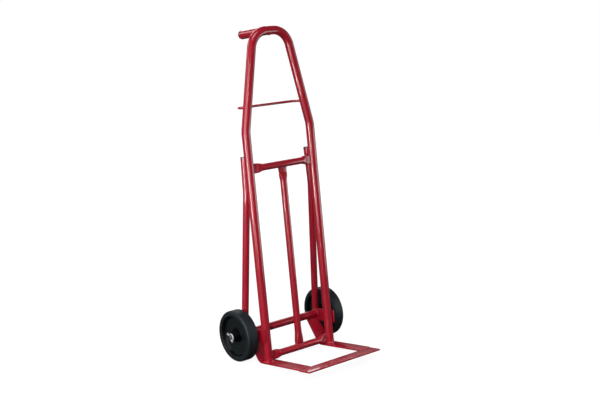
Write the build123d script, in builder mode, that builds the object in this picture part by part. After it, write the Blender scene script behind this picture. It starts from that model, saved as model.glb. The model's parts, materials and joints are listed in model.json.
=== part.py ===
from build123d import *
import math
import os

os.makedirs("parts", exist_ok=True)

# A welded steel hand truck, at rest on its two wheels and the two heels of its skids.
# +Z is up, the toe frame points to -Y, the operator stands on the +Y side, and
# "left" is the -X side, as seen from in front of the toe frame.
# All sizes are in millimetres and degrees.

# ---- Driving dimensions ----

# Stance: how far the truck leans back when nobody holds it
stance = 9.0

# Toe frame of flat bar, with skids that turn up to the axle
toe_depth = 270.0          # feet of the uprights to the front edge
toe_half_width = 179.0
bar_thickness = 6.0
side_bar_width = 55.0
front_bar_width = 60.0
front_bar_drop = 2.0       # the front bar sits this much lower than the side bars
heel_start = 16.0          # behind the feet, where the skids begin to turn up
heel_radius = 30.0         # on the underside
skid_rise = 58.0           # slope of the skids towards the axle

# Main frame, one bent tube: two uprights, two raked arms and a top bar
frame_lean = -2.0          # the frame's lean against the toe frame's normal
frame_tube = 33.7
frame_wall = 2.0
upright_x = 156.5
waist_height = 890.0       # along the frame
waist_radius = 110.0
top_height = 1260.0
top_x = 78.5               # where arm and top bar would meet without the corner
corner_radius = 75.0

# Rungs and centre tube, with their ends pressed flat
rung_tube = 26.9
rung_wall = 2.0
mid_rung_height = 750.5
bottom_rung_height = 26.0
pressed_width = 38.0
pressed_thickness = 6.0
pressed_length = 22.0
press_taper = 30.0
foot_width = 33.0          # the centre tube's lower end is only half pressed
foot_thickness = 18.5
foot_taper = 70.0

# Grip and rear loop
handle_length = 177.0      # from the top bar's centre-line, with its cap
handle_rise = 1.0          # above the top bar's centre-line
loop_rod = 10.0
loop_height = 980.0
loop_depth = 67.0          # behind the frame
loop_corner = 20.0

# Struts from the back of the uprights down to the axle tube
strut_top_height = 792.0
strut_top_x = 155.0
strut_bend_height = 655.0
strut_bend_x = 160.0
strut_bend_radius = 200.0
strut_foot_x = 180.5
strut_foot_behind_axle = 8.0

# Axle tube, brackets and axle
axle_back = 92.0           # behind the feet
axle_tube = 30.0
axle_tube_half = 191.0
axle_diameter = 20.0
axle_end_x = 264.0
axle_slack = 0.3           # between the axle and its tube, on the radius
bracket_thickness = 5.0
bracket_height = 50.0
bracket_drop = 3.0         # its centre-line below the axle
bracket_corner = 4.0

# Wheels
wheel_radius = 100.0
wheel_x = 217.5            # middle of the tyre
tyre_half_width = 25.0
tyre_bore = 77.0
tyre_lip = 82.0
tyre_shoulder = 10.0
rim_half_width = 15.5
lip_radius = 75.0
web_half = 9.0             # half the web's thickness
pocket_half = 2.5          # and in the pocket around the hub
pocket_radius = 30.5
hub_radius = 21.0
hub_outer_end = 252.3
bush_diameter = 25.0
running_fit = 0.05         # between bush and axle, on the radius
washer_diameter = 30.0
washer_thickness = 2.5
side_play = 0.3

# Split pins
pin_x = 258.6
pin_tilt = 40.0            # the eye points forward and down by this
pin_radius = 2.2
pin_hole = 5.0

# Plastic end caps
cap_flange = 5.0
cap_round = 1.5
cap_plug = 16.0
cap_slack = 0.2

# ---- Planes and places ----

tilt = math.radians(stance)
lean = math.radians(stance + frame_lean)
frame_r = frame_tube / 2
rung_r = rung_tube / 2
axle_r = axle_diameter / 2

# The toe frame's underside stands this high at the feet, with both heels on the floor
toe_z = heel_radius * (1 - math.cos(tilt)) + heel_start * math.sin(tilt)
# and the wheels reach the same floor
axle_up = (wheel_radius - toe_z + axle_back * math.sin(tilt)) / math.cos(tilt)

# The handle's end, in the toe frame's own directions
bar_up = top_height * math.cos(math.radians(frame_lean))
bar_back = top_height * math.sin(math.radians(frame_lean))
grip_up = bar_up + handle_rise
grip_back = bar_back + handle_length

# Front and rear reach from the feet, which put the origin in the middle
front_reach = toe_depth * math.cos(tilt) + front_bar_drop * math.sin(tilt)
rear_reach = grip_back * math.cos(tilt) + grip_up * math.sin(tilt)
rear_reach += (frame_r - cap_round) * math.sin(tilt) + cap_round * (1 - math.cos(tilt))
feet_y = (front_reach - rear_reach) / 2

feet = (0, feet_y, toe_z)
# local x is +X, local y runs back, local z is the toe frame's normal
TOE = Plane(origin=feet, x_dir=(1, 0, 0), z_dir=(0, math.sin(tilt), math.cos(tilt)))
# local x runs back, local y is the toe frame's normal, local z is +X
SIDE = Plane(origin=feet, x_dir=TOE.y_dir, z_dir=(1, 0, 0))
# local x is +X, local y runs up the frame, local z points out of its front
FRAME = Plane(origin=feet, x_dir=(1, 0, 0), z_dir=(0, -math.cos(lean), math.sin(lean)))


def on_frame(x, up, behind=0.0):
    """A point of the main frame: across, up along it and behind it."""
    return FRAME.from_local_coords(Vector(x, up, -behind))


def on_toe(x, back, up):
    """A point in the toe frame's directions, from the feet."""
    return TOE.from_local_coords(Vector(x, back, up))


axle_centre = on_toe(0, axle_back, axle_up)
# local x is +X from the middle of the right tyre, local y is the radius
WHEEL = Plane(origin=axle_centre + Vector(wheel_x, 0, 0), x_dir=(1, 0, 0), z_dir=(0, -1, 0))

# The brackets stand against the uprights' outer sides, flush with their fronts
bracket_inner_x = upright_x + frame_r
bracket_middle = axle_up - bracket_drop
bracket_front = bracket_middle * math.sin(math.radians(frame_lean)) - frame_r

sides = {"left": -1, "right": 1}


def rod(start, end, radius):
    """A straight round bar between two points."""
    with BuildPart() as bar:
        with BuildSketch(Plane(origin=start, z_dir=end - start)):
            Circle(radius)
        extrude(amount=(end - start).length)
    return bar.part


def across(centre, radius, half_length):
    """A round bar along X."""
    reach = Vector(half_length, 0, 0)
    return rod(centre - reach, centre + reach, radius)


def bent_rod(points, radii, radius):
    """A round bar along straight runs joined by arcs."""
    with BuildPart() as bar:
        with BuildLine() as route:
            FilletPolyline(*points, radius=radii)
        with BuildSketch(Plane(origin=route.line @ 0, z_dir=route.line % 0)):
            Circle(radius)
        sweep(path=route.line)
    return bar.part


def pressed_rod(start, end, wide, shrink, first, last):
    """A round bar whose ends are pressed flat.

    wide is the direction in which the ends spread, shrink takes a wall off every
    section, and first and last are each an end's (width, thickness, flat, taper).
    """
    along = (end - start).normalized()
    length = (end - start).length
    with BuildPart() as bar:
        stations = []
        for place, inward, (width, thickness, flat, taper) in ((0, 1, first), (length, -1, last)):
            stations.append((place, width / 2, thickness / 2))
            if flat > 0:
                stations.append((place + inward * flat, width / 2, thickness / 2))
            stations.append((place + inward * (flat + taper), rung_r, rung_r))
        stations.sort()
        for near, far in zip(stations, stations[1:]):
            for place, half_width, half_thickness in (near, far):
                section = Plane(origin=start + along * place, x_dir=wide, z_dir=along)
                with BuildSketch(section):
                    Ellipse(half_width - shrink, half_thickness - shrink)
            loft(ruled=True)
    return bar.part


def mirrored(part):
    return mirror(part, about=Plane.YZ)


# ---- Toe frame ----

side_bar_x = toe_half_width - side_bar_width / 2
for name, side in sides.items():
    with BuildPart() as toe_side_bar:
        with BuildLine(SIDE.offset(side * side_bar_x)) as bar_line:
            flat = Line(
                (front_bar_width - toe_depth, bar_thickness / 2),
                (heel_start, bar_thickness / 2),
            )
            heel = JernArc(flat @ 1, flat % 1, heel_radius - bar_thickness / 2, skid_rise)
            reach = math.hypot(axle_back, axle_up) - heel_radius
            Line(heel @ 1, heel @ 1 + (heel % 1) * reach)
        with BuildSketch(Plane(origin=flat @ 0, x_dir=(1, 0, 0), z_dir=flat % 0)):
            Rectangle(side_bar_width, bar_thickness)
        sweep(path=bar_line.line)
        # the skid ends on the axle tube, with its outer corner cut away for the bracket
        add(across(axle_centre, axle_tube / 2, axle_end_x), mode=Mode.SUBTRACT)
        split(bisect_by=Plane(origin=axle_centre, z_dir=TOE.z_dir), keep=Keep.BOTTOM)
        with BuildSketch(SIDE.offset(side * bracket_inner_x)):
            with Locations((axle_back, bracket_middle)):
                Rectangle(2 * bracket_height, bracket_height)
        extrude(amount=side * bracket_height, mode=Mode.SUBTRACT)
    toe_side_bar.part.label = f"{name}_toe_side_bar"
    export_step(toe_side_bar.part, f"parts/{name}_toe_side_bar.step")

with BuildPart() as toe_front_bar:
    with BuildSketch(TOE.offset(-front_bar_drop)):
        with Locations((0, front_bar_width / 2 - toe_depth)):
            Rectangle(2 * toe_half_width, front_bar_width)
    extrude(amount=bar_thickness)
    front_edges = toe_front_bar.edges().filter_by(Axis.X).group_by(Axis.Y)[0]
    chamfer(front_edges.sort_by(Axis.Z)[-1], length=1.0)
toe_front_bar.part.label = "toe_front_bar"
export_step(toe_front_bar.part, "parts/toe_front_bar.step")

# ---- Main frame ----

with BuildPart() as main_frame:
    with BuildLine(FRAME) as frame_line:
        FilletPolyline(
            (-upright_x, 0),
            (-upright_x, waist_height),
            (-top_x, top_height),
            (top_x, top_height),
            (upright_x, waist_height),
            (upright_x, 0),
            radius=[waist_radius, corner_radius, corner_radius, waist_radius],
        )
    with BuildSketch(Plane(origin=frame_line.line @ 0, z_dir=frame_line.line % 0)):
        Circle(frame_r)
        Circle(frame_r - frame_wall, mode=Mode.SUBTRACT)
    sweep(path=frame_line.line)
    # the feet stand on the toe frame's side bars
    split(bisect_by=TOE.offset(bar_thickness), keep=Keep.TOP)
main_frame.part.label = "main_frame"
export_step(main_frame.part, "parts/main_frame.step")

# ---- Rungs and centre tube ----

pressed = (pressed_width, pressed_thickness, pressed_length, press_taper)
half_pressed = (foot_width, foot_thickness, 0, foot_taper)


for name, height in (("mid_rung", mid_rung_height), ("bottom_rung", bottom_rung_height)):
    left_end, right_end = on_frame(-upright_x, height), on_frame(upright_x, height)
    with BuildPart() as rung:
        add(pressed_rod(left_end, right_end, FRAME.y_dir, 0, pressed, pressed))
        add(
            pressed_rod(left_end, right_end, FRAME.y_dir, rung_wall, pressed, pressed),
            mode=Mode.SUBTRACT,
        )
        # the ends follow the round of the uprights
        for x in (-upright_x, upright_x):
            upright = rod(on_frame(x, height - 60), on_frame(x, height + 60), frame_r)
            add(upright, mode=Mode.SUBTRACT)
    rung.part.label = name
    export_step(rung.part, f"parts/{name}.step")

with BuildPart() as centre_tube:
    low_end, high_end = on_frame(0, bottom_rung_height), on_frame(0, mid_rung_height)
    top_end = (pressed_width, pressed_thickness, pressed_length + rung_r, press_taper)
    add(pressed_rod(low_end, high_end, FRAME.x_dir, 0, half_pressed, top_end))
    add(
        pressed_rod(low_end, high_end, FRAME.x_dir, rung_wall, half_pressed, top_end),
        mode=Mode.SUBTRACT,
    )
    for centre in (low_end, high_end):
        add(across(centre, rung_r, pressed_width), mode=Mode.SUBTRACT)
centre_tube.part.label = "centre_tube"
export_step(centre_tube.part, "parts/centre_tube.step")

# ---- Grip and rear loop ----

grip_start = on_toe(0, bar_back + frame_r / 2, grip_up)
grip_end = on_toe(0, grip_back - cap_flange, grip_up)
with BuildPart() as top_handle:
    add(rod(grip_start, grip_end, frame_r))
    add(rod(grip_start, grip_end, frame_r - frame_wall), mode=Mode.SUBTRACT)
    # the front end follows the round of the top bar
    add(across(on_frame(0, top_height), frame_r, 2 * frame_tube), mode=Mode.SUBTRACT)
top_handle.part.label = "top_handle"
export_step(top_handle.part, "parts/top_handle.step")

arm_slope = (upright_x - top_x) / (top_height - waist_height)
loop_x = upright_x - (loop_height - waist_height) * arm_slope
with BuildPart() as rear_loop:
    loop_points = [
        on_frame(-loop_x, loop_height, 0),
        on_frame(-loop_x, loop_height, loop_depth),
        on_frame(loop_x, loop_height, loop_depth),
        on_frame(loop_x, loop_height, 0),
    ]
    add(bent_rod(loop_points, loop_corner, loop_rod / 2))
    # its ends stop at the back of the raked arms
    for side in sides.values():
        arm_low = on_frame(side * (loop_x + 60 * arm_slope), loop_height - 60)
        arm_high = on_frame(side * (loop_x - 60 * arm_slope), loop_height + 60)
        add(rod(arm_low, arm_high, frame_r), mode=Mode.SUBTRACT)
    split(bisect_by=FRAME, keep=Keep.BOTTOM)
rear_loop.part.label = "rear_loop"
export_step(rear_loop.part, "parts/rear_loop.step")

# ---- Struts ----

strut_behind = frame_r + rung_r
for name, side in sides.items():
    strut_top = on_frame(side * strut_top_x, strut_top_height, strut_behind)
    strut_bend = on_frame(side * strut_bend_x, strut_bend_height, strut_behind)
    strut_foot = on_toe(side * strut_foot_x, axle_back + strut_foot_behind_axle, axle_up)
    strut_route = [strut_top, strut_bend, strut_foot]
    with BuildPart() as strut:
        add(bent_rod(strut_route, strut_bend_radius, rung_r))
        add(bent_rod(strut_route, strut_bend_radius, rung_r - rung_wall), mode=Mode.SUBTRACT)
        # the foot sits on the axle tube, slotted over the bracket and flush with the tube's end
        add(across(axle_centre, axle_tube / 2, axle_end_x), mode=Mode.SUBTRACT)
        split(bisect_by=Plane(origin=axle_centre, z_dir=TOE.z_dir), keep=Keep.TOP)
        with BuildSketch(SIDE.offset(side * bracket_inner_x)):
            with Locations((axle_back, bracket_middle)):
                Rectangle(2 * bracket_height, bracket_height)
        extrude(amount=side * bracket_thickness, mode=Mode.SUBTRACT)
        flush = Plane(origin=(side * axle_tube_half, 0, 0), z_dir=(side, 0, 0))
        split(bisect_by=flush, keep=Keep.BOTTOM)
    strut.part.label = f"{name}_strut"
    export_step(strut.part, f"parts/{name}_strut.step")

# ---- End caps ----

def end_cap(seat, outward, tube, wall):
    """A plug with a round-edged flange on a tube's end."""
    with BuildPart() as cap:
        with BuildSketch(Plane(origin=seat, z_dir=outward)):
            Circle(tube / 2)
        extrude(amount=cap_flange)
        rim = cap.edges().filter_by(GeomType.CIRCLE)
        outer = max(rim, key=lambda edge: (edge.arc_center - seat).dot(outward))
        fillet(outer, radius=cap_round)
        with BuildSketch(Plane(origin=seat, z_dir=outward)):
            Circle(tube / 2 - wall - cap_slack)
        extrude(amount=-cap_plug)
    return cap.part


caps = {"top_handle_cap": (grip_end, TOE.y_dir, frame_tube, frame_wall)}
for name, side in sides.items():
    cap_seat = on_frame(side * strut_top_x, strut_top_height, strut_behind)
    cap_bend = on_frame(side * strut_bend_x, strut_bend_height, strut_behind)
    cap_outward = (cap_seat - cap_bend).normalized()
    caps[f"{name}_strut_cap"] = (cap_seat, cap_outward, rung_tube, rung_wall)
for name, (seat, outward, tube, wall) in caps.items():
    with BuildPart() as cap:
        add(end_cap(seat, outward, tube, wall))
    cap.part.label = name
    export_step(cap.part, f"parts/{name}.step")

# ---- Axle ----

with BuildPart() as axle_tube_part:
    add(across(axle_centre, axle_tube / 2, axle_tube_half))
    add(across(axle_centre, axle_r + axle_slack, axle_tube_half), mode=Mode.SUBTRACT)
axle_tube_part.part.label = "axle_tube"
export_step(axle_tube_part.part, "parts/axle_tube.step")

eye_dir = Vector(0, -math.cos(math.radians(pin_tilt)), -math.sin(math.radians(pin_tilt)))
with BuildPart() as axle:
    add(across(axle_centre, axle_r, axle_end_x))
    chamfer(axle.edges().filter_by(GeomType.CIRCLE), length=1.5)
    for side in sides.values():
        hole_centre = axle_centre + Vector(side * pin_x, 0, 0)
        reach = eye_dir * axle_diameter
        add(rod(hole_centre - reach, hole_centre + reach, pin_hole / 2), mode=Mode.SUBTRACT)
axle.part.label = "axle"
export_step(axle.part, "parts/axle.step")

# ---- Brackets ----

for name, side in sides.items():
    with BuildPart() as bracket:
        with BuildSketch(SIDE.offset(side * bracket_inner_x)):
            with Locations(((bracket_front + axle_back) / 2, bracket_middle)):
                Rectangle(axle_back - bracket_front, bracket_height)
            with Locations((axle_back, bracket_middle)):
                Circle(bracket_height / 2)
            with Locations((axle_back, axle_up)):
                Circle(axle_tube / 2, mode=Mode.SUBTRACT)
        extrude(amount=side * bracket_thickness)
        front_corners = bracket.edges().filter_by(Axis.X).group_by(Axis.Y)[:2]
        fillet([corner for group in front_corners for corner in group], radius=bracket_corner)
    bracket.part.label = f"{name}_axle_bracket"
    export_step(bracket.part, f"parts/{name}_axle_bracket.step")

# ---- Wheels ----

hub_inner_end = axle_tube_half + 2 * side_play + washer_thickness
hub_in = hub_inner_end - wheel_x
hub_out = hub_outer_end - wheel_x
axle_line = Axis(axle_centre, (1, 0, 0))

with BuildPart() as tyre:
    with BuildSketch(WHEEL) as tyre_section:
        with BuildLine():
            Polyline(
                (-rim_half_width, tyre_bore),
                (-tyre_half_width, tyre_lip),
                (-tyre_half_width, wheel_radius),
                (tyre_half_width, wheel_radius),
                (tyre_half_width, tyre_lip),
                (rim_half_width, tyre_bore),
                close=True,
            )
        make_face()
        fillet(tyre_section.vertices().group_by(Axis.Y)[-1], radius=tyre_shoulder)
        fillet(tyre_section.vertices().group_by(Axis.Y)[1], radius=3.0)
    revolve(axis=axle_line)

# The rim's section from hub to tyre, as (distance outwards, radius)
with BuildPart() as rim:
    with BuildSketch(WHEEL) as rim_section:
        with BuildLine():
            Polyline(
                (hub_in, bush_diameter / 2),
                (hub_in, hub_radius - 1),
                (-pocket_half, hub_radius),
                (-pocket_half, pocket_radius - 2),
                (-web_half, pocket_radius),
                (-web_half, lip_radius - 2),
                (-rim_half_width, lip_radius),
                (-rim_half_width, tyre_bore),
                (rim_half_width, tyre_bore),
                (rim_half_width, lip_radius),
                (web_half, lip_radius - 2),
                (web_half, pocket_radius),
                (pocket_half, pocket_radius - 2),
                (pocket_half, hub_radius),
                (hub_out, hub_radius - 1),
                (hub_out, bush_diameter / 2),
                close=True,
            )
        make_face()
    revolve(axis=axle_line)

with BuildPart() as bush:
    with BuildSketch(WHEEL):
        with Locations(((hub_in + hub_out) / 2, (bush_diameter / 2 + axle_r + running_fit) / 2)):
            Rectangle(hub_out - hub_in, bush_diameter / 2 - axle_r - running_fit)
    revolve(axis=axle_line)

for node, piece in (("tyre", tyre), ("wheel_rim", rim), ("wheel_bush", bush)):
    for name, side in sides.items():
        with BuildPart() as wheel_piece:
            add(piece.part if side > 0 else mirrored(piece.part))
        wheel_piece.part.label = f"{name}_{node}"
        export_step(wheel_piece.part, f"parts/{name}_{node}.step")

# ---- Washers and split pins ----

with BuildPart() as axle_washers:
    for side in sides.values():
        for inner_face in (axle_tube_half + side_play, hub_outer_end + side_play):
            near = axle_centre + Vector(side * inner_face, 0, 0)
            far = near + Vector(side * washer_thickness, 0, 0)
            with BuildSketch(Plane(origin=near, z_dir=(side, 0, 0))):
                Circle(washer_diameter / 2)
                Circle(axle_r + axle_slack, mode=Mode.SUBTRACT)
            extrude(amount=washer_thickness)
axle_washers.part.label = "axle_washers"
export_step(axle_washers.part, "parts/axle_washers.step")

eye_radius = 4.2
eye_wire = 1.6
leg_wire = 1.4
with BuildPart() as split_pins:
    for side in sides.values():
        centre = axle_centre + Vector(side * pin_x, 0, 0)
        add(rod(centre - eye_dir * 13, centre + eye_dir * 13.5, pin_radius))
        eye = centre + eye_dir * (13 + eye_radius)
        with Locations(Plane(origin=eye, z_dir=(1, 0, 0))):
            Torus(eye_radius, eye_wire)
        for spread in (-28, 28):
            leg_start = centre - eye_dir * 12
            leg_dir = (eye_dir * -1).rotate(Axis.X, spread)
            add(rod(leg_start, leg_start + leg_dir * 11, leg_wire))
split_pins.part.label = "split_pins"
export_step(split_pins.part, "parts/split_pins.step")
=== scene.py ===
"""A red welded hand truck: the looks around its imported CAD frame. Lengths are in metres."""
import json
import math
from collections import namedtuple

import bpy
import bmesh
from mathutils import Matrix, Vector, noise


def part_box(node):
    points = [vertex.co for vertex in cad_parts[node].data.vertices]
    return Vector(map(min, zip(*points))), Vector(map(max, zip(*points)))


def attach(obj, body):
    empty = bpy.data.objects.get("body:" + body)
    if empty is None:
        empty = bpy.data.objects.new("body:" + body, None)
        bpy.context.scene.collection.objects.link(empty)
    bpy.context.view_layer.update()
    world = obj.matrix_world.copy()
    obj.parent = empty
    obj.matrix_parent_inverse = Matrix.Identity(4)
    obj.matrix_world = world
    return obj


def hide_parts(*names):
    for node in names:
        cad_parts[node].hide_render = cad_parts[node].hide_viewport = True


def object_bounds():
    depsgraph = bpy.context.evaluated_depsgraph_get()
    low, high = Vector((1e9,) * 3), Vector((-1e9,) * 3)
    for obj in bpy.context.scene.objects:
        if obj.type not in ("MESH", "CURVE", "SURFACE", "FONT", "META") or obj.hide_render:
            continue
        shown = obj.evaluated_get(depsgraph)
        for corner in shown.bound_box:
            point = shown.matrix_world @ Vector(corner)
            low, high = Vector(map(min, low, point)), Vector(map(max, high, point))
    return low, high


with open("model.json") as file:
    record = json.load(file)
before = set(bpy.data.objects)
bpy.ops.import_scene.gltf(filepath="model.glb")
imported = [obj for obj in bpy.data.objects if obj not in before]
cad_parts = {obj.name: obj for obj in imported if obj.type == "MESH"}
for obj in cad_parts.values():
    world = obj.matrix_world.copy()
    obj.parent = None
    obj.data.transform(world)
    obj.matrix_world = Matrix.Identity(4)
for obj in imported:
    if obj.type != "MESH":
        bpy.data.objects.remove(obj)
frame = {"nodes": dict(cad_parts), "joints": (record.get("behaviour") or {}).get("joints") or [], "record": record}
cad_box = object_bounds()

# ---- The design, read from the frame ----

MM = 0.001
X = Vector((1, 0, 0))
SIDES = {"left": -1, "right": 1}


def middle(node):
    low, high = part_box(node)
    return (low + high) / 2


mounts = {mount["name"]: mount for mount in frame["record"]["mounts"]}
toe_top = Vector(mounts["toe_rest"]["pos_m"])
TOE_UP = Vector(mounts["toe_rest"]["axis"]).normalized()
TOE_BACK = TOE_UP.cross(X)
bottom_rung = middle("bottom_rung")
mid_rung = middle("mid_rung")
UP = (mid_rung - bottom_rung).normalized()
BACK = UP.cross(X)
axle = Vector(frame["joints"][0]["pos_m"])
axle.x = 0

FRAME_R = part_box("top_handle")[1].x
RUNG_R = 13.45 * MM
AXLE_TUBE_R = 15 * MM
LOOP_R = 5 * MM
PRESSED_W = 19 * MM
PRESSED_T = 3 * MM
PLATE = 6 * MM
FRONT_BAR = 60 * MM
FRONT_BAR_DROP = 2 * MM
BOTTOM_RUNG_UP = 26 * MM

# the feet: where the uprights' centre-lines meet the underside of the toe frame's side bars
feet = bottom_rung - UP * BOTTOM_RUNG_UP
upright_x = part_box("main_frame")[1].x - FRAME_R
side_bar_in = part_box("right_toe_side_bar")[0].x
side_bar_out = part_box("right_toe_side_bar")[1].x
tube_end_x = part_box("axle_tube")[1].x

# main tube: heights up the frame from the feet, and half of its width at the top
FOOT_UP = PLATE - 1 * MM
WAIST_UP = 890 * MM
TOP_UP = 1260 * MM
TOP_X = 78.5 * MM
WAIST_RADIUS = 110 * MM
CORNER_RADIUS = 75 * MM
ARM_SLOPE = (upright_x - TOP_X) / (TOP_UP - WAIST_UP)

# handle: from inside the top bar to the head of its cap, both from the top bar's centre-line
HANDLE_START = 6 * MM
HANDLE_END = 172 * MM

# hand loop: from inside the arms, around two bends
LOOP_UP = 980 * MM
LOOP_START = 10 * MM
LOOP_DEPTH = 67 * MM
LOOP_CORNER = 20 * MM
loop_x = upright_x - (LOOP_UP - WAIST_UP) * ARM_SLOPE

# struts: (place across, height) of the top and the bend, and (place across, way behind the axle)
# of the foot
STRUT_BEHIND = FRAME_R + RUNG_R
STRUT_TOP = (155 * MM, 792 * MM)
STRUT_BEND = (160 * MM, 655 * MM)
STRUT_FOOT = (180.5 * MM, 8 * MM)
STRUT_BEND_RADIUS = 200 * MM

# rungs and centre tube: how far their ends stay from the centre-lines of the tubes they meet
MID_RUNG_UP = (mid_rung - feet).dot(UP)
RUNG_SHORT = 13.5 * MM
CENTRE_SHORT_LOW = 10 * MM
CENTRE_SHORT_HIGH = 11 * MM

# skids
axle_back = (axle - feet).dot(TOE_BACK)
axle_up = (axle - feet).dot(TOE_UP)
front_bar_rear = (toe_top - feet).dot(TOE_BACK) + FRONT_BAR / 2
HEEL_START = 16 * MM
HEEL_RADIUS = 30 * MM
SKID_RISE = math.radians(58)

# brackets
BRACKET_THICKNESS = 5 * MM
BRACKET_HALF = 25 * MM
BRACKET_DROP = 3 * MM
bracket_in = upright_x + FRAME_R
bracket_up = axle_up - BRACKET_DROP

# wheels, washers and pins
WHEEL_X = 217.5 * MM
WASHER_X = (tube_end_x + 0.3 * MM, 252.6 * MM)
PIN_X = 258.6 * MM
PIN_TILT = math.radians(40)
PIN_WIRE_R = 1.15 * MM

# the rounded edges of rolled bar and of cut plate
BAR_EDGE = 1.1 * MM
PLATE_EDGE = 0.8 * MM


def on_frame(x, up, behind=0.0):
    """A point of the main frame: across, up along it and behind it."""
    return feet + X * x + UP * up + BACK * behind


def on_toe(x, back, up):
    """A point in the toe frame's directions, from the feet."""
    return feet + X * x + TOE_BACK * back + TOE_UP * up


def strut_point(side, spot):
    return on_frame(side * spot[0], spot[1], STRUT_BEHIND)


def strut_foot(side):
    return on_toe(side * STRUT_FOOT[0], axle_back + STRUT_FOOT[1], axle_up)


# ---- Mesh helpers ----


def new_object(name, mesh):
    piece = bpy.data.objects.new(name, mesh)
    bpy.context.scene.collection.objects.link(piece)
    return piece


def mesh_piece(name, vertices, faces, sharp_angle=35):
    """A closed mesh with outward normals, smooth up to an angle."""
    mesh = bpy.data.meshes.new(name)
    mesh.from_pydata([tuple(v) for v in vertices], [], faces)
    shape = bmesh.new()
    shape.from_mesh(mesh)
    bmesh.ops.recalc_face_normals(shape, faces=shape.faces)
    limit = math.radians(sharp_angle)
    for edge in shape.edges:
        if len(edge.link_faces) == 2:
            edge.smooth = edge.calc_face_angle(0) < limit
    for face in shape.faces:
        face.smooth = True
    shape.to_mesh(mesh)
    shape.free()
    return new_object(name, mesh)


def join(name, pieces):
    """Several mesh pieces as one."""
    shape = bmesh.new()
    for piece in pieces:
        shape.from_mesh(piece.data)
    mesh = bpy.data.meshes.new(name)
    shape.to_mesh(mesh)
    shape.free()
    for piece in pieces:
        bpy.data.objects.remove(piece)
    return new_object(name, mesh)


def rounded(points, radii, steps=8, closed=False):
    """A 2-D or 3-D polyline with its corners turned into arcs."""
    points = [Vector(p) for p in points]
    count = len(points)
    if not hasattr(radii, "__len__"):
        radii = [radii] * count
    result = []
    for i, corner in enumerate(points):
        if not closed and i in (0, count - 1) or radii[i] <= 0:
            result.append(corner)
            continue
        to_last = (points[i - 1] - corner).normalized()
        to_next = (points[(i + 1) % count] - corner).normalized()
        half = to_last.angle(to_next) / 2
        reach = radii[i] / math.tan(half)
        middle_way = (to_last + to_next).normalized()
        centre = corner + middle_way * (radii[i] / math.sin(half))
        start = corner + to_last * reach - centre
        end = corner + to_next * reach - centre
        turn = start.angle(end)
        for k in range(steps + 1):
            t = k / steps
            spot = start * math.sin((1 - t) * turn) + end * math.sin(t * turn)
            result.append(centre + spot / math.sin(turn))
    return result


def turns(count):
    """Angles at even steps around a circle."""
    return [2 * math.pi * k / count for k in range(count)]


def ring_of(radius, segments):
    """A round section, as (side, normal) offsets."""
    return [(radius * math.cos(a), radius * math.sin(a)) for a in turns(segments)]


def bands(rings, loop, closed=False):
    """The faces between rings of points, capped at both ends unless the last ring meets the first."""
    faces = []
    for i in range(rings if closed else rings - 1):
        here, there = i * loop, ((i + 1) % rings) * loop
        for k in range(loop):
            after = (k + 1) % loop
            faces.append((here + k, here + after, there + after, there + k))
    if not closed:
        faces.append(tuple(range(loop)))
        faces.append(tuple(range((rings - 1) * loop, rings * loop)))
    return faces


def sweep(name, path, section, side, closed=False, scale=None, sharp_angle=35):
    """A section carried along a path. side is the first direction of the section at the start."""
    count = len(path)
    vertices = []
    across = side.normalized()
    for i, point in enumerate(path):
        if closed:
            along = (path[(i + 1) % count] - path[i - 1]).normalized()
        elif i == 0:
            along = (path[1] - path[0]).normalized()
        elif i == count - 1:
            along = (path[-1] - path[-2]).normalized()
        else:
            first = (path[i] - path[i - 1]).normalized()
            along = (first + (path[i + 1] - path[i]).normalized()).normalized()
        across = (across - along * across.dot(along)).normalized()
        other = along.cross(across)
        size = scale(i, count) if scale else 1.0
        vertices += [point + across * (a * size) + other * (b * size) for a, b in section]
    return mesh_piece(name, vertices, bands(count, len(section), closed), sharp_angle)


def revolve(name, profile, centre, axis, segments):
    """A closed profile of (distance along the axis, radius) turned about the axis."""
    axis = axis.normalized()
    first = axis.orthogonal().normalized()
    second = axis.cross(first)
    vertices = []
    for angle in turns(segments):
        out = first * math.cos(angle) + second * math.sin(angle)
        vertices += [centre + axis * p[0] + out * p[1] for p in profile]
    return mesh_piece(name, vertices, bands(segments, len(profile), closed=True))


def plate(name, outline, thickness, plane_x, plane_y, origin, bevel):
    """A flat plate with rounded edges: its outline in a plane, thickened along the normal."""
    normal = plane_x.cross(plane_y).normalized()
    count = len(outline)
    flat = [Vector((p[0], p[1])) for p in outline]
    area = sum(a.x * b.y - b.x * a.y for a, b in zip(flat, flat[1:] + flat[:1]))
    turn = 1 if area > 0 else -1
    quarter = [math.pi / 2 * k / 4 for k in range(5)]
    rings = [(bevel * (1 - math.sin(a)), bevel * (1 - math.cos(a))) for a in quarter]
    rings += [(inset, thickness - depth) for inset, depth in reversed(rings)]
    vertices = []
    for inset, depth in rings:
        for i, point in enumerate(flat):
            before = (point - flat[i - 1]).normalized()
            ahead = (flat[(i + 1) % count] - point).normalized()
            inward = Vector((-(before.y + ahead.y), before.x + ahead.x)) * turn
            inward.normalize()
            corner = max(0.3, inward.dot(Vector((-ahead.y, ahead.x)) * turn))
            spot = point + inward * (inset / corner)
            vertices.append(origin + plane_x * spot.x + plane_y * spot.y + normal * depth)
    return mesh_piece(name, vertices, bands(len(rings), count), 40)


# ---- Materials ----


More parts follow.
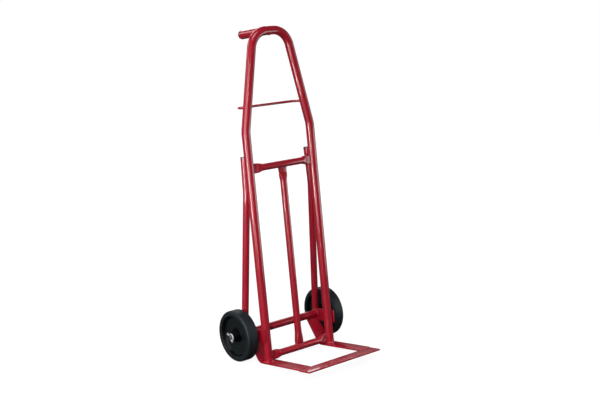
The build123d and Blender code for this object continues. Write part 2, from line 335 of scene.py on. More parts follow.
class Nodes:
    """A node material with the few calls that the materials below need."""

    def __init__(self, name):
        self.material = bpy.data.materials.new(name)
        self.material.use_nodes = True
        self.tree = self.material.node_tree
        self.shader = self.tree.nodes["Principled BSDF"]
        self.place = self.tree.nodes.new("ShaderNodeTexCoord").outputs["Object"]

    def link(self, output, target):
        self.tree.links.new(output, target)

    def noise(self, scale, detail=3.0, roughness=0.5, stretch=None):
        node = self.tree.nodes.new("ShaderNodeTexNoise")
        node.inputs["Scale"].default_value = scale
        node.inputs["Detail"].default_value = detail
        node.inputs["Roughness"].default_value = roughness
        source = self.place
        if stretch:
            mapping = self.tree.nodes.new("ShaderNodeMapping")
            mapping.inputs["Scale"].default_value = stretch
            self.link(source, mapping.inputs["Vector"])
            source = mapping.outputs["Vector"]
        self.link(source, node.inputs["Vector"])
        return node.outputs["Fac"]

    def cells(self, scale):
        node = self.tree.nodes.new("ShaderNodeTexVoronoi")
        node.inputs["Scale"].default_value = scale
        self.link(self.place, node.inputs["Vector"])
        return node.outputs["Distance"]

    def off_axle(self):
        """The distance from the axle's line."""
        away = self.tree.nodes.new("ShaderNodeVectorMath")
        away.operation = "SUBTRACT"
        self.link(self.place, away.inputs[0])
        away.inputs[1].default_value = axle
        flat = self.tree.nodes.new("ShaderNodeVectorMath")
        flat.operation = "MULTIPLY"
        self.link(away.outputs["Vector"], flat.inputs[0])
        flat.inputs[1].default_value = (0, 1, 1)
        length = self.tree.nodes.new("ShaderNodeVectorMath")
        length.operation = "LENGTH"
        self.link(flat.outputs["Vector"], length.inputs[0])
        return length.outputs["Value"]

    def blend(self, share, colour, other):
        """colour where share is 0, and the other socket's colour where it is 1."""
        node = self.tree.nodes.new("ShaderNodeMix")
        node.data_type = "RGBA"
        # the colour sockets share their names with the number sockets, so they go by place
        share_in, first, second = node.inputs[0], node.inputs[6], node.inputs[7]
        first.default_value = (*colour, 1)
        self.link(share, share_in)
        self.link(other, second)
        return node.outputs[2]

    def ramp(self, value, stops):
        """Colours, or shares as single numbers, at stops along a value."""
        node = self.tree.nodes.new("ShaderNodeValToRGB")
        elements = node.color_ramp.elements
        while len(elements) < len(stops):
            elements.new(0.5)
        for element, (position, colour) in zip(elements, stops):
            element.position = position
            element.color = (*colour, 1) if hasattr(colour, "__len__") else (colour,) * 3 + (1,)
        self.link(value, node.inputs["Fac"])
        return node.outputs["Color"]

    def span(self, value, low, high):
        """A noise's usual range, 0.3 to 0.7, stretched to another one."""
        node = self.tree.nodes.new("ShaderNodeMapRange")
        node.inputs["To Min"].default_value = low
        node.inputs["To Max"].default_value = high
        node.inputs["From Min"].default_value = 0.3
        node.inputs["From Max"].default_value = 0.7
        self.link(value, node.inputs["Value"])
        return node.outputs["Result"]

    def bump(self, height, depth, distance, before=None):
        """A normal bent by a height, on top of the bump before it."""
        node = self.tree.nodes.new("ShaderNodeBump")
        node.inputs["Strength"].default_value = depth
        node.inputs["Distance"].default_value = distance
        self.link(height, node.inputs["Height"])
        if before is not None:
            self.link(before, node.inputs["Normal"])
        return node.outputs["Normal"]

    def set(self, **values):
        """Constant values, straight on the shader's own sockets."""
        for socket, value in values.items():
            self.shader.inputs[socket.replace("_", " ")].default_value = value


# near-black painted shade for the wheels' recesses, where the lip wall and the hub pocket lie in shadow
PAINTED_SHADE = (0.0004, 0.0006, 0.0007)


def enamel(name, roughness, peel, coat):
    """Stoved red enamel: slow colour drift, orange peel and a clear top layer."""
    n = Nodes(name)
    n.link(n.ramp(n.noise(7, 4, 0.55), [(0.3, (0.300, 0.0040, 0.0160)), (0.7, (0.360, 0.0062, 0.0215))]),
           n.shader.inputs["Base Color"])
    n.link(n.span(n.noise(30, 4, 0.6), roughness, roughness + 0.10), n.shader.inputs["Roughness"])
    n.link(n.bump(n.noise(130, 2, 0.4), peel, 0.0004), n.shader.inputs["Normal"])
    n.link(n.bump(n.noise(90, 2, 0.4), peel / 2, 0.0004), n.shader.inputs["Coat Normal"])
    n.set(Specular_IOR_Level=0.16, Coat_Weight=coat, Coat_Roughness=0.04, Coat_IOR=1.5)
    return n.material


def red_paint():
    return enamel("red_enamel", 0.32, 0.03, 0.65)


def weld_paint():
    """The same paint over weld metal: wetter, with a tight pebbled surface."""
    return enamel("weld_enamel", 0.20, 0.30, 1.0)


def tyre_rubber():
    """Solid black rubber with a fine moulded grain and faint dusty patches, with painted near-black shade on its
    inner wall inside the lip.
    """
    n = Nodes("tyre_rubber")
    rubber = n.ramp(n.noise(14, 5, 0.6),
                    [(0.25, (0.0052, 0.0088, 0.0108)), (0.75, (0.0090, 0.0140, 0.0170))])
    # painted shade: the tyre's inner wall under the lip, within 80.5 mm of the axle, goes near-black
    inner_wall_shade = n.ramp(n.off_axle(), [(0.0805, 0.0), (0.0825, 1.0)])
    n.link(n.blend(inner_wall_shade, PAINTED_SHADE, rubber), n.shader.inputs["Base Color"])
    n.link(n.span(n.noise(45, 5, 0.65), 0.42, 0.58), n.shader.inputs["Roughness"])
    grain = n.bump(n.cells(1500), 0.12, 0.0002)
    n.link(n.bump(n.noise(260, 3, 0.5), 0.10, 0.0004, grain), n.shader.inputs["Normal"])
    n.set(Specular_IOR_Level=0.20)
    return n.material


def rim_plastic():
    """Black moulded plastic with a slight flow pattern, with painted near-black shade in the pocket by the hub and
    at the lip.
    """
    n = Nodes("rim_plastic")
    plastic = n.ramp(n.noise(22, 4, 0.6),
                     [(0.3, (0.0036, 0.0060, 0.0070)), (0.7, (0.0062, 0.0098, 0.0110))])
    # painted shade: near-black in the hub pocket within 28.5 mm of the axle and on the lip wall beyond 73.8 mm
    pocket_and_lip_shade = n.ramp(n.off_axle(), [(0.0285, 0.0), (0.0305, 1.0), (0.0732, 1.0), (0.0738, 0.0)])
    n.link(n.blend(pocket_and_lip_shade, PAINTED_SHADE, plastic), n.shader.inputs["Base Color"])
    n.link(n.span(n.noise(30, 5, 0.6), 0.30, 0.44), n.shader.inputs["Roughness"])
    n.link(n.bump(n.noise(700, 3, 0.5), 0.10, 0.0003), n.shader.inputs["Normal"])
    n.set(Specular_IOR_Level=0.22)
    return n.material


def cap_plastic():
    """Black polythene with a fine spark-eroded grain."""
    n = Nodes("cap_plastic")
    n.link(n.ramp(n.noise(80, 3), [(0.3, (0.010, 0.0105, 0.012)), (0.7, (0.018, 0.0185, 0.020))]),
           n.shader.inputs["Base Color"])
    n.link(n.span(n.noise(130, 4), 0.40, 0.52), n.shader.inputs["Roughness"])
    n.link(n.bump(n.cells(1800), 0.15, 0.0002), n.shader.inputs["Normal"])
    n.set(Specular_IOR_Level=0.5)
    return n.material


def bush_nylon():
    """Dark grey nylon, smooth where it turns."""
    n = Nodes("bush_nylon")
    n.link(n.ramp(n.noise(90, 3), [(0.3, (0.035, 0.036, 0.038)), (0.7, (0.055, 0.056, 0.06))]),
           n.shader.inputs["Base Color"])
    n.link(n.span(n.noise(150, 3), 0.30, 0.45), n.shader.inputs["Roughness"])
    n.link(n.bump(n.noise(900, 2), 0.08, 0.0002), n.shader.inputs["Normal"])
    return n.material


def zinc_plate():
    """Bright zinc plate with faint drawing lines along X and a cloudy passivation."""
    n = Nodes("zinc_plate")
    n.link(n.ramp(n.noise(120, 4, 0.6), [(0.3, (0.60, 0.61, 0.63)), (0.7, (0.78, 0.785, 0.79))]),
           n.shader.inputs["Base Color"])
    n.link(n.span(n.noise(240, 4, 0.6), 0.24, 0.42), n.shader.inputs["Roughness"])
    n.link(n.bump(n.noise(900, 3, 0.5, (0.08, 1, 1)), 0.15, 0.0002), n.shader.inputs["Normal"])
    n.set(Metallic=0.5)
    return n.material


def axle_steel():
    """Dark cold-drawn steel with a trace of oil, drawn along X."""
    n = Nodes("axle_steel")
    n.link(n.ramp(n.noise(160, 4, 0.6), [(0.3, (0.06, 0.06, 0.065)), (0.7, (0.13, 0.13, 0.135))]),
           n.shader.inputs["Base Color"])
    n.link(n.span(n.noise(200, 4, 0.6), 0.38, 0.55), n.shader.inputs["Roughness"])
    n.link(n.bump(n.noise(800, 3, 0.5, (0.08, 1, 1)), 0.12, 0.0002), n.shader.inputs["Normal"])
    n.set(Metallic=1.0)
    return n.material


MATERIALS = {
    "red_paint": red_paint(),
    "zinc_plate": zinc_plate(),
    "black_rubber": tyre_rubber(),
    "rim_plastic": rim_plastic(),
    "bush_plastic": bush_nylon(),
    "black_plastic": cap_plastic(),
    "weld": weld_paint(),
    "axle": axle_steel(),
}


def paint(piece, material):
    piece.data.materials.clear()
    piece.data.materials.append(MATERIALS[material])


def finish_piece(piece, slot, body, *replaced):
    """Its material, the body it rides on and the CAD nodes it stands for."""
    if not piece.data.materials:
        paint(piece, slot)
    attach(piece, body)
    if replaced:
        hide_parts(*replaced)


for entry in frame["record"]["subparts"]:
    paint(frame["nodes"][entry["node"]], entry["material_slot"])
paint(frame["nodes"]["axle"], "axle")


# ---- Tubes ----


def tube(name, path, radius, side=X, segments=48):
    return sweep(name, path, ring_of(radius, segments), side)


def cut(piece, point, normal):
    """Takes away what lies beyond a plane, and closes the cut."""
    shape = bmesh.new()
    shape.from_mesh(piece.data)
    everything = shape.verts[:] + shape.edges[:] + shape.faces[:]
    bmesh.ops.bisect_plane(shape, geom=everything, plane_co=point, plane_no=normal, clear_outer=True)
    open_edges = [edge for edge in shape.edges if edge.is_boundary]
    closed = bmesh.ops.contextual_create(shape, geom=open_edges)["faces"]
    for edge in open_edges:
        edge.smooth = False
    for face in closed:
        face.smooth = True
    shape.to_mesh(piece.data)
    shape.free()


def main_tube():
    """Two uprights, two raked arms and the top bar, bent from one tube."""
    outline = [(-upright_x, FOOT_UP), (-upright_x, WAIST_UP), (-TOP_X, TOP_UP),
               (TOP_X, TOP_UP), (upright_x, WAIST_UP), (upright_x, FOOT_UP)]
    radii = [0, WAIST_RADIUS, CORNER_RADIUS, CORNER_RADIUS, WAIST_RADIUS, 0]
    path = [on_frame(p.x, p.y) for p in rounded(outline, radii, 18)]
    finish_piece(tube("main_tube", path, FRAME_R, BACK), "red_paint", "frame", "main_frame")


def handle():
    """The short straight tube behind the top bar."""
    cap = middle("top_handle_cap")
    start = cap - TOE_BACK * (cap - on_frame(0, TOP_UP)).dot(TOE_BACK)
    path = [start + TOE_BACK * HANDLE_START, start + TOE_BACK * HANDLE_END]
    finish_piece(tube("handle_tube", path, FRAME_R), "red_paint", "frame", "top_handle")


def loop():
    """The thin hand loop behind the arms."""
    outline = [(-loop_x, LOOP_START), (-loop_x, LOOP_DEPTH), (loop_x, LOOP_DEPTH), (loop_x, LOOP_START)]
    path = [on_frame(p.x, LOOP_UP, p.y) for p in rounded(outline, LOOP_CORNER, 12)]
    finish_piece(tube("hand_loop", path, LOOP_R, UP, 24), "red_paint", "frame", "rear_loop")


def strut(name, side):
    """A rear strut from the back of an upright to the axle tube."""
    outline = [strut_point(side, STRUT_TOP), strut_point(side, STRUT_BEND), strut_foot(side)]
    piece = tube(f"{name}_strut_tube", rounded(outline, STRUT_BEND_RADIUS, 10), RUNG_R, BACK)
    cut(piece, X * side * tube_end_x, X * side)
    finish_piece(piece, "red_paint", "frame", f"{name}_strut")


# ---- Pressed ends ----

# An end's half width and half thickness, the length that is flat and the length in which it turns
# round again, and the length over which it keeps its full width
End = namedtuple("End", "half_width half_thickness flat taper full")
RUNG_END = End(PRESSED_W, PRESSED_T + 0.5 * MM, 20 * MM, 32 * MM, 20 * MM)
CENTRE_FOOT = End(16.5 * MM, 9.2 * MM, 3 * MM, 66 * MM, 3 * MM)
CENTRE_TOP = End(20 * MM, 3.4 * MM, 23 * MM, 40 * MM, 6 * MM)

# The flat's outline is a superellipse of this power, a tube's is one of 2
FLAT_POWER = 4.2
# Below 1, the tube opens with a crease beside the flat
CREASE = 0.40


def smooth_step(t):
    t = min(1.0, max(0.0, t))
    return t * t * (3 - 2 * t)


def pressed_tube(name, start, end, wide, first, last):
    """A tube whose ends are pressed flat and spread along wide."""
    along = (end - start).normalized()
    length = (end - start).length
    deep = along.cross(wide).normalized()
    stations = []
    for origin, inward, shape in ((0, 1, first), (length, -1, last)):
        depths = [shape.flat * k / 8 for k in range(8)]
        depths += [shape.flat + shape.taper * k / 22 for k in range(23)]
        stations += [(origin + inward * depth, depth, shape) for depth in depths]
    stations.sort(key=lambda station: station[0])
    segments = 48
    vertices = []
    for place, depth, shape in stations:
        rise = max(0.0, depth - shape.flat) / shape.taper
        narrowing = max(0.0, depth - shape.full) / (shape.flat + shape.taper - shape.full)
        a = shape.half_width + (RUNG_R - shape.half_width) * smooth_step(narrowing)
        b = shape.half_thickness + (RUNG_R - shape.half_thickness) * smooth_step(rise ** CREASE)
        power = 2 / (FLAT_POWER - (FLAT_POWER - 2) * smooth_step(rise * 1.3))
        for angle in turns(segments):
            c, s = math.cos(angle), math.sin(angle)
            side_way = a * math.copysign(abs(c) ** power, c)
            depth_way = b * math.copysign(abs(s) ** power, s)
            vertices.append(start + along * place + wide * side_way + deep * depth_way)
    return mesh_piece(name, vertices, bands(len(stations), segments), 50)


def rungs_and_centre():
    for node, up in (("mid_rung", MID_RUNG_UP), ("bottom_rung", BOTTOM_RUNG_UP)):
        reach = upright_x - RUNG_SHORT
        left, right = on_frame(-reach, up), on_frame(reach, up)
        piece = pressed_tube(f"{node}_tube", left, right, UP, RUNG_END, RUNG_END)
        finish_piece(piece, "red_paint", "frame", node)
    low = on_frame(0, BOTTOM_RUNG_UP + CENTRE_SHORT_LOW)
    high = on_frame(0, MID_RUNG_UP - CENTRE_SHORT_HIGH)
    piece = pressed_tube("centre_tube_pressed", low, high, X, CENTRE_FOOT, CENTRE_TOP)
    finish_piece(piece, "red_paint", "frame", "centre_tube")


# ---- Toe frame and brackets, with the rounded edges of rolled bar ----


def toe_front():
    """The front bar of the toe frame."""
    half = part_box("toe_front_bar")[1].x
    depth = FRONT_BAR / 2
    corners = [(-half, -depth), (half, -depth), (half, depth), (-half, depth)]
    outline = rounded(corners, 2 * MM, 5, closed=True)
    bar = plate("toe_front_bar_rolled", outline, PLATE, X, TOE_BACK, toe_top - TOE_UP * PLATE, BAR_EDGE)
    finish_piece(bar, "red_paint", "frame", "toe_front_bar")


def box_in_toe(name, centre, size):
    """A block in the toe frame's directions."""
    shape = bmesh.new()
    bmesh.ops.create_cube(shape, size=1)
    across = Matrix((X, TOE_BACK, TOE_UP)).transposed().to_4x4()
    shape.transform(Matrix.Translation(centre) @ across @ Matrix.Diagonal((*size, 1)))
    mesh = bpy.data.meshes.new(name)
    shape.to_mesh(mesh)
    shape.free()
    return new_object(name, mesh)


def carve(piece, cutter):
    """Takes one piece out of another, for good."""
    modifier = piece.modifiers.new("carve", "BOOLEAN")
    modifier.object = cutter
    modifier.solver = "EXACT"
    bpy.context.view_layer.update()
    graph = bpy.context.evaluated_depsgraph_get()
    mesh = bpy.data.meshes.new_from_object(piece.evaluated_get(graph))
    piece.modifiers.clear()
    piece.data = mesh
    bpy.data.objects.remove(cutter)


def skid(name, side):
    """A side bar of the toe frame, which turns up at the heel and ends on the axle tube."""
    half = (side_bar_out - side_bar_in) / 2
    corners = [(-half, -PLATE / 2), (half, -PLATE / 2), (half, PLATE / 2), (-half, PLATE / 2)]
    section = [tuple(p) for p in rounded(corners, BAR_EDGE, 4, closed=True)]
    bend = HEEL_RADIUS - PLATE / 2
    line = [(front_bar_rear, PLATE / 2)]
    for k in range(17):
        angle = SKID_RISE * k / 16
        line.append((HEEL_START + bend * math.sin(angle), HEEL_RADIUS - bend * math.cos(angle)))
    slope = Vector((math.cos(SKID_RISE), math.sin(SKID_RISE)))
    end = Vector(line[-1])
    line.append(tuple(end + slope * (Vector((axle_back, axle_up)) - end).dot(slope)))
    middle_x = side * (side_bar_in + side_bar_out) / 2
    piece = sweep(f"{name}_skid", [on_toe(middle_x, y, z) for y, z in line], section, X)
    # the outer corner is cut away for the bracket
    size = (50 * MM, 100 * MM, 2 * BRACKET_HALF)
    spot = on_toe(side * (bracket_in + size[0] / 2), axle_back, bracket_up)
    carve(piece, box_in_toe("notch", spot, size))
    finish_piece(piece, "red_paint", "frame", f"{name}_toe_side_bar")


def bracket(name, side):
    """A flat plate from the outer side of an upright to the axle tube, round at its rear."""
    front = (on_frame(0, bracket_up) - feet).dot(TOE_BACK) - FRAME_R
    low, high = bracket_up - BRACKET_HALF, bracket_up + BRACKET_HALF
    outline = rounded([(axle_back, high), (front, high), (front, low), (axle_back, low)], 4 * MM, 6)
    for k in range(1, 24):
        angle = -math.pi / 2 + math.pi * k / 24
        outline.append(Vector((axle_back + BRACKET_HALF * math.cos(angle),
                               bracket_up + BRACKET_HALF * math.sin(angle))))
    start = bracket_in if side > 0 else -bracket_in - BRACKET_THICKNESS
    piece = plate(f"{name}_bracket_plate", outline, BRACKET_THICKNESS, TOE_BACK, TOE_UP,
                  feet + X * start, PLATE_EDGE)
    finish_piece(piece, "red_paint", "frame", f"{name}_axle_bracket")


# ---- Welds ----

RIPPLE = 2.4 * MM
# the short runs that hold a strut's top: how far across they lie, and their heights
STRUT_RUN_X = 155.8 * MM
STRUT_RUNS = ((664 * MM, 694 * MM), (756 * MM, 784 * MM))
# half the length of a bracket's runs, and how far they lie before and behind the upright's line
BRACKET_RUN_HALF = 21 * MM
BRACKET_RUN_BEHIND = 6.2 * MM

# noise_vector is seeded from the clock unless it is told otherwise
noise.seed_set(1)


def evenly(path, spacing, closed):
    """The same path with points at even spacing."""
    points = path + [path[0]] if closed else path
    result, carry = [], 0.0
    for a, b in zip(points, points[1:]):
        length = (b - a).length
        while carry < length:
            result.append(a.lerp(b, carry / length))
            carry += spacing
        carry -= length
    if not closed:
        result.append(points[-1])
    return result


def bead(path, radius, side, closed=True):
    """A rippled run of weld metal."""
    path = evenly(path, RIPPLE / 4, closed)
    wobbled = [point + noise.noise_vector(point * 260) * radius * 0.16 for point in path]

    def swell(i, count):
        ends = 1.0 if closed else min(1.0, 0.45 + 0.12 * min(i, count - 1 - i))
        return ends * (1 + 0.10 * math.sin(i * math.pi / 2) + 0.15 * noise.noise(path[i] * 120))

    return sweep("bead", wobbled, ring_of(radius, 10), side, closed, swell, 80)


def straight_bead(start, end, radius, side):
    return bead([start, end], radius, side, closed=False)


def weld(name, *beads):
    """The beads of one joint, as one piece."""
    piece = join(f"weld_{name}", beads)
    paint(piece, "weld")
    finish_piece(piece, "red_paint", "frame")


def saddle(centre, along, wide, half_width, half_thickness, main_point, main_dir, main_radius):
    """Where a tube's outline, carried along its axis, meets another tube's surface."""
    deep = along.cross(wide).normalized()
    toward = along - main_dir * along.dot(main_dir)
    path = []
    for angle in turns(48):
        point = centre + wide * half_width * math.cos(angle) + deep * half_thickness * math.sin(angle)
        away = point - main_point
        away -= main_dir * away.dot(main_dir)
        a, b = toward.dot(toward), 2 * away.dot(toward)
        inside = max(0.0, b * b - 4 * a * (away.dot(away) - main_radius ** 2))
        path.append(point + along * ((-b - math.sqrt(inside)) / (2 * a)))
    return path


def gap_first(path, keep):
    """A closed path's points that pass a test, starting just after the gap."""
    path = [p for p in path if keep(p)]
    start = max(range(len(path)), key=lambda i: (path[i] - path[i - 1]).length)
    return path[start:] + path[:start]


def rung_welds():
    """Both ends of both rungs, on the uprights."""
    for node, up in (("mid_rung", MID_RUNG_UP), ("bottom_rung", BOTTOM_RUNG_UP)):
        for name, side in SIDES.items():
            path = saddle(on_frame(0, up), X * side, UP, PRESSED_W, PRESSED_T + 1.2 * MM,
                          on_frame(side * upright_x, up), UP, FRAME_R)
            weld(f"{node}_{name}", bead(path, 2.0 * MM, BACK))


def centre_tube_welds():
    """Both ends of the centre tube, on the rungs."""
    on_its_line = on_frame(0, 400 * MM)
    path = saddle(on_its_line, UP, X, 20 * MM, 4 * MM, mid_rung, X, RUNG_R)
    weld("centre_tube_top", bead(path, 1.9 * MM, BACK))
    path = saddle(on_its_line, -UP, X, 16.8 * MM, 9.6 * MM, bottom_rung, X, RUNG_R)
    weld("centre_tube_foot", bead(path, 2.8 * MM, BACK))


def handle_weld():
    """The handle on the top bar. Their tubes are level at the crown, so the bead stops short of it."""
    path = saddle(middle("top_handle_cap"), -TOE_BACK, X, FRAME_R, FRAME_R,
                  on_frame(0, TOP_UP), X, FRAME_R - 0.5 * MM)
    path = gap_first(path, lambda p: p.z < cad_box[1].z - 3 * MM)
    weld("handle", bead(path, 2.2 * MM, X, closed=False))


def loop_weld(name, side):
    """An end of the hand loop, on the back of an arm."""
    arm = (on_frame(-side * ARM_SLOPE, 1) - on_frame(0, 0)).normalized()
    path = saddle(on_frame(side * loop_x, LOOP_UP, LOOP_DEPTH), -BACK, X, LOOP_R, LOOP_R,
                  on_frame(side * loop_x, LOOP_UP), arm, FRAME_R)
    weld(f"loop_{name}", bead(path, 1.3 * MM, UP))


def foot_weld(name, side):
    """An upright's foot, on the toe frame."""
    level = PLATE + 0.6 * MM
    ring = []
    for angle in turns(48):
        point = on_frame(side * upright_x + FRAME_R * math.cos(angle), PLATE, FRAME_R * math.sin(angle))
        ring.append(point + TOE_UP * (level - (point - feet).dot(TOE_UP)))
    weld(f"foot_{name}", bead(ring, 3.3 * MM, X))


def strut_welds(name, side):
    """A strut's foot on the axle tube, and the two short runs on each side of it up the upright."""
    foot = strut_foot(side)
    down = (foot - strut_point(side, STRUT_BEND)).normalized()
    path = saddle(foot - down * 60 * MM, down, X, RUNG_R, RUNG_R, axle, X, AXLE_TUBE_R)
    path = gap_first(path, lambda p: abs(p.x) < tube_end_x - 1.5 * MM)
    weld(f"strut_foot_{name}", bead(path, 2.3 * MM, BACK, closed=False))
    behind = FRAME_R + 1 * MM
    runs = []
    for low, high in STRUT_RUNS:
        for way in (-1, 1):
            x = side * STRUT_RUN_X + way * 4.6 * MM
            runs.append(straight_bead(on_frame(x, low, behind), on_frame(x, high, behind), 2.4 * MM, X))
    weld(f"strut_{name}", *runs)


def bracket_welds(name, side):
    """A bracket's two runs along the upright, and a ring on the axle tube at each of its faces."""
    runs = []
    x = side * (bracket_in - 1.2 * MM)
    low, high = bracket_up - BRACKET_RUN_HALF, bracket_up + BRACKET_RUN_HALF
    for behind in (-BRACKET_RUN_BEHIND, BRACKET_RUN_BEHIND):
        runs.append(straight_bead(on_frame(x, low, behind), on_frame(x, high, behind), 2.0 * MM, X))
    for x in (bracket_in - 0.8 * MM, bracket_in + BRACKET_THICKNESS + 0.8 * MM):
        ring = []
        for angle in turns(40):
            away = TOE_UP * math.cos(angle) + TOE_BACK * math.sin(angle)
            ring.append(axle + X * side * x + away * (AXLE_TUBE_R + 0.6 * MM))
        runs.append(bead(ring, 1.9 * MM, X))
    weld(f"bracket_{name}", *runs)


def skid_welds(name, side):
    """Both faces of a skid, on the axle tube."""
    normal = TOE_BACK * math.sin(SKID_RISE) - TOE_UP * math.cos(SKID_RISE)
    along = TOE_BACK * math.cos(SKID_RISE) + TOE_UP * math.sin(SKID_RISE)
    heel = feet + TOE_BACK * HEEL_START + TOE_UP * HEEL_RADIUS
    lower_face = (heel - axle).dot(normal) + HEEL_RADIUS
    runs = []
    for face in (lower_face, lower_face - PLATE):
        drop = math.sqrt(max(0.0, AXLE_TUBE_R ** 2 - face ** 2))
        spot = axle + normal * face - along * drop
        runs.append(straight_bead(spot + X * side * (side_bar_in + 2 * MM),
                                  spot + X * side * (bracket_in - 2 * MM), 2.2 * MM, TOE_BACK))
    weld(f"skid_{name}", *runs)


def toe_corner_weld(name, side):
    """The butt joint of a side bar and the front bar, which sits a little lower."""
    back = front_bar_rear - 0.3 * MM
    level = PLATE - FRONT_BAR_DROP + 0.5 * MM
    run = straight_bead(on_toe(side * (side_bar_in + 2 * MM), back, level),
                        on_toe(side * (side_bar_out - 2 * MM), back, level), 1.7 * MM, TOE_BACK)
    weld(f"toe_corner_{name}", run)


# ---- Wheels, washers and split pins. Their outlines are in millimetres ----


def rounded_mm(outline, radii, steps, closed=False):
    return rounded([(a * MM, b * MM) for a, b in outline], [r * MM for r in radii], steps, closed)


def wheel_part(name, profile, side, segments):
    """A profile of (distance outwards, radius) from the wheel's middle, turned about the axle."""
    return revolve(name, profile, axle + X * side * WHEEL_X, X * side, segments)


def tyre(name, side):
    """A solid tyre: wide tread with fine grooves around it, round shoulders and a parting line."""
    tread_r, groove_r, parting_r = 99.85, 99.3, 100
    outline = [(-15.4, 77.1), (-23.5, 79.5), (-25, 82.5), (-25, tread_r),
               (25, tread_r), (25, 82.5), (23.5, 79.5), (15.4, 77.1)]
    section = rounded_mm(outline, [0.3, 0.8, 1.5, 10, 10, 1.5, 0.8, 0.3], 9, closed=True)
    split_at = max(range(len(section) - 1), key=lambda i: section[i].y + section[i + 1].y)
    tread = []
    for place in range(-12, 13, 4):
        level = groove_r if place else parting_r
        for step, radius in ((-0.7, tread_r), (-0.35, level), (0.35, level), (0.7, tread_r)):
            tread.append(Vector(((place + step) * MM, radius * MM)))
    return wheel_part(name, section[:split_at + 1] + tread + section[split_at + 1:], side, 192)


def rim(name, side):
    """A moulded wheel centre: lip, raised ring, web, pocket and long hub, the same on both faces."""
    hub_in, hub_out, bore = -23.4, 34.8, 12.5
    face = [(15.5, 76.9), (15.5, 75.6), (9.2, 73.9), (11.0, 73.0), (11.0, 71.2), (9.2, 70.2),
            (8.6, 30.6), (2.6, 28.8), (2.4, 21.2)]
    round_by = [0.5, 0.5, 0.4, 0.6, 0.6, 0.6, 1.2, 1.0, 1.2]
    outline = face + [(hub_out, 19.6), (hub_out, bore), (hub_in, bore), (hub_in, 19.9)]
    outline += [(-a, r) for a, r in reversed(face)]
    radii = round_by + [1.2, 0.4, 0.4, 1.2] + round_by[::-1]
    return wheel_part(name, rounded_mm(outline, radii, 5, closed=True), side, 160)


def wheels():
    for name, side in SIDES.items():
        body = f"{name}_wheel"
        finish_piece(tyre(f"{name}_tyre_moulded", side), "black_rubber", body, f"{name}_tyre")
        finish_piece(rim(f"{name}_rim_moulded", side), "rim_plastic", body, f"{name}_wheel_rim")


def washers():
    """Four stamped washers, with a rounder edge on the outward face."""
    inner, outer, thick = 10.3, 15, 2.5
    profile = rounded_mm([(0, inner), (0, outer), (thick, outer), (thick, inner)],
                         [0.25, 0.5, 0.9, 0.4], 4, closed=True)
    pieces = []
    for side in SIDES.values():
        for start in WASHER_X:
            pieces.append(revolve("washer", profile, axle + X * side * start, X * side, 96))
    finish_piece(join("stamped_washers", pieces), "zinc_plate", "frame", "axle_washers")


def pins():
    """Split pins bent from one wire: a round eye, two legs side by side, ends spread."""
    eye_way = Vector((0, -math.cos(PIN_TILT), -math.sin(PIN_TILT)))
    across = X.cross(eye_way)
    eye_place, eye_radius, eye_opening = 17.0, 4.1, math.radians(155)
    eye = []
    for k in range(25):
        angle = eye_opening * (1 - k / 12)
        eye.append((eye_place + eye_radius * math.cos(angle), eye_radius * math.sin(angle)))
    upper_leg = [(-22.5, 6.2), (-13.2, 1.2), (12.2, 1.2)]
    lower_leg = [(12.2, -1.2), (-12.8, -1.2), (-20.5, -6.8)]
    outline = upper_leg + eye + lower_leg
    radii = [0, 3, 1.5] + [0] * len(eye) + [1.5, 3, 0]
    line = rounded_mm(outline, radii, 6)
    pieces = []
    for side in SIDES.values():
        centre = axle + X * side * PIN_X
        path = [centre + eye_way * p.x + across * p.y for p in line]
        pieces.append(sweep("pin", path, ring_of(PIN_WIRE_R, 14), X))
    finish_piece(join("bent_split_pins", pieces), "zinc_plate", "frame", "split_pins")


main_tube()
handle()
loop()
rungs_and_centre()
toe_front()
for side_name, side_sign in SIDES.items():
    strut(side_name, side_sign)
    skid(side_name, side_sign)
    bracket(side_name, side_sign)
rung_welds()
centre_tube_welds()
handle_weld()
for side_name, side_sign in SIDES.items():
    for side_weld in (loop_weld, foot_weld, strut_welds, bracket_welds, skid_welds, toe_corner_weld):
        side_weld(side_name, side_sign)
wheels()
washers()
pins()

# ---- Studio ----

CAMERA_AZIMUTH = 39.68
CAMERA_ELEVATION = 13.16
CAMERA_ROLL = -0.92
CAMERA_DISTANCE = 4.2195
CAMERA_TARGET = Vector((0.0177, -0.0240, 0.6033))
LENS = 66.18
SENSOR = 36
LENS_SHIFT = 0.0054
FLOOR_REACH = 60


def camera():
    """A long lens above the handle's height, from the front left."""
    azimuth, elevation = math.radians(CAMERA_AZIMUTH), math.radians(CAMERA_ELEVATION)
    look = Vector((math.sin(azimuth) * math.cos(elevation), math.cos(azimuth) * math.cos(elevation),
                   -math.sin(elevation)))
    data = bpy.data.cameras.new("camera")
    data.lens = LENS
    data.sensor_width = SENSOR
    data.shift_y = LENS_SHIFT
    camera_object = new_object("camera", data)
    turn = look.to_track_quat("-Z", "Y").to_matrix()
    turn = turn @ Matrix.Rotation(math.radians(CAMERA_ROLL), 3, "Z")
    place = CAMERA_TARGET - look * CAMERA_DISTANCE
    camera_object.matrix_world = Matrix.Translation(place) @ turn.to_4x4()
    bpy.context.scene.camera = camera_object


def area_light(name, place, target, size, power, gloss_only=False):
    """A rectangular light. One that is gloss_only shows in gloss, and lights nothing matt."""
    data = bpy.data.lights.new(name, "AREA")
    data.shape = "RECTANGLE"
    data.size, data.size_y = size
    data.energy = power
    lamp = new_object(name, data)
    lamp.visible_diffuse = not gloss_only
    lamp.location = place
    lamp.rotation_euler = (Vector(target) - Vector(place)).to_track_quat("-Z", "Y").to_euler()


def sun_light(name, direction, strength, spread):
    """A distant light. Its spread is in degrees."""
    data = bpy.data.lights.new(name, "SUN")
    data.energy = strength
    data.angle = math.radians(spread)
    lamp = new_object(name, data)
    lamp.rotation_euler = Vector(direction).to_track_quat("-Z", "Y").to_euler()


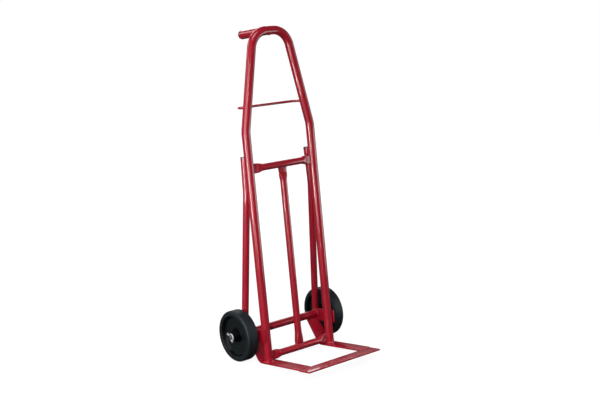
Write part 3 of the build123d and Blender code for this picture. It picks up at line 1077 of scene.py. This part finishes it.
def seen_and_lit(tree, seen, lit, target):
    """One shader for the camera's own rays and another for every other ray."""
    path = tree.nodes.new("ShaderNodeLightPath")
    mix = tree.nodes.new("ShaderNodeMixShader")
    tree.links.new(path.outputs["Is Camera Ray"], mix.inputs["Fac"])
    tree.links.new(lit, mix.inputs[1])
    tree.links.new(seen, mix.inputs[2])
    tree.links.new(mix.outputs["Shader"], target)


def room():
    """White paper to the eye, but a dim room in reflections, so that gloss keeps its depth."""
    world = bpy.data.worlds.new("studio_world")
    world.use_nodes = True
    tree = world.node_tree
    paper = tree.nodes["Background"]
    paper.inputs["Color"].default_value = (1, 1, 1, 1)
    paper.inputs["Strength"].default_value = 1.0
    dim = tree.nodes.new("ShaderNodeBackground")
    dim.inputs["Color"].default_value = (1, 1, 1, 1)
    dim.inputs["Strength"].default_value = 0.10
    seen_and_lit(tree, paper.outputs["Background"], dim.outputs["Background"],
                 tree.nodes["World Output"].inputs["Surface"])
    bpy.context.scene.world = world


def paper_floor():
    """A floor that the camera sees as white paper, and the truck as a dark cloth."""
    mesh = bpy.data.meshes.new("studio_floor")
    corners = [(x * FLOOR_REACH, y * FLOOR_REACH, 0) for x, y in ((-1, -1), (1, -1), (1, 1), (-1, 1))]
    mesh.from_pydata(corners, [], [(0, 1, 2, 3)])
    floor = new_object("studio_floor", mesh)
    n = Nodes("floor_paper")
    n.link(n.ramp(n.noise(1.5, 2), [(0.3, (0.15, 0.15, 0.15)), (0.7, (0.16, 0.16, 0.16))]),
           n.shader.inputs["Base Color"])
    n.set(Roughness=0.9, Specular_IOR_Level=0.1, Emission_Color=(1, 1, 1, 1), Emission_Strength=0.92)
    cloth = n.tree.nodes.new("ShaderNodeBsdfDiffuse")
    cloth.inputs["Color"].default_value = (0.10, 0.10, 0.10, 1)
    seen_and_lit(n.tree, n.shader.outputs["BSDF"], cloth.outputs["BSDF"],
                 n.tree.nodes["Material Output"].inputs["Surface"])
    floor.data.materials.append(n.material)


def studio():
    """A white paper floor and soft lights."""
    paper_floor()
    room()
    centre = (0, 0, 0.6)
    sun_light("overhead_sun", (0.35, 0.30, -1.0), 1.62, 35)
    area_light("left_softbox", (-3.4, -0.6, 1.1), centre, (2.2, 2.6), 90)
    area_light("right_softbox", (3.2, -1.2, 1.0), centre, (1.0, 2.6), 26)
    area_light("strip_light", (-2.6, -2.6, 1.2), centre, (0.14, 2.6), 45)
    area_light("low_strip", (-1.5, -0.19, 0.62), (0, 0, 0.62), (0.06, 0.50), 14, gloss_only=True)
    area_light("right_card", (1.35, -0.95, 0.5), (0.2, 0, 0.3), (0.8, 0.8), 10, gloss_only=True)
    area_light("rear_right_softbox", (2.2, 3.6, 2.2), centre, (2.4, 1.4), 40)
    area_light("rear_left_softbox", (-2.2, 3.2, 2.4), centre, (2.4, 1.4), 36)
    bpy.context.scene.view_settings.view_transform = "Standard"


camera()
studio()
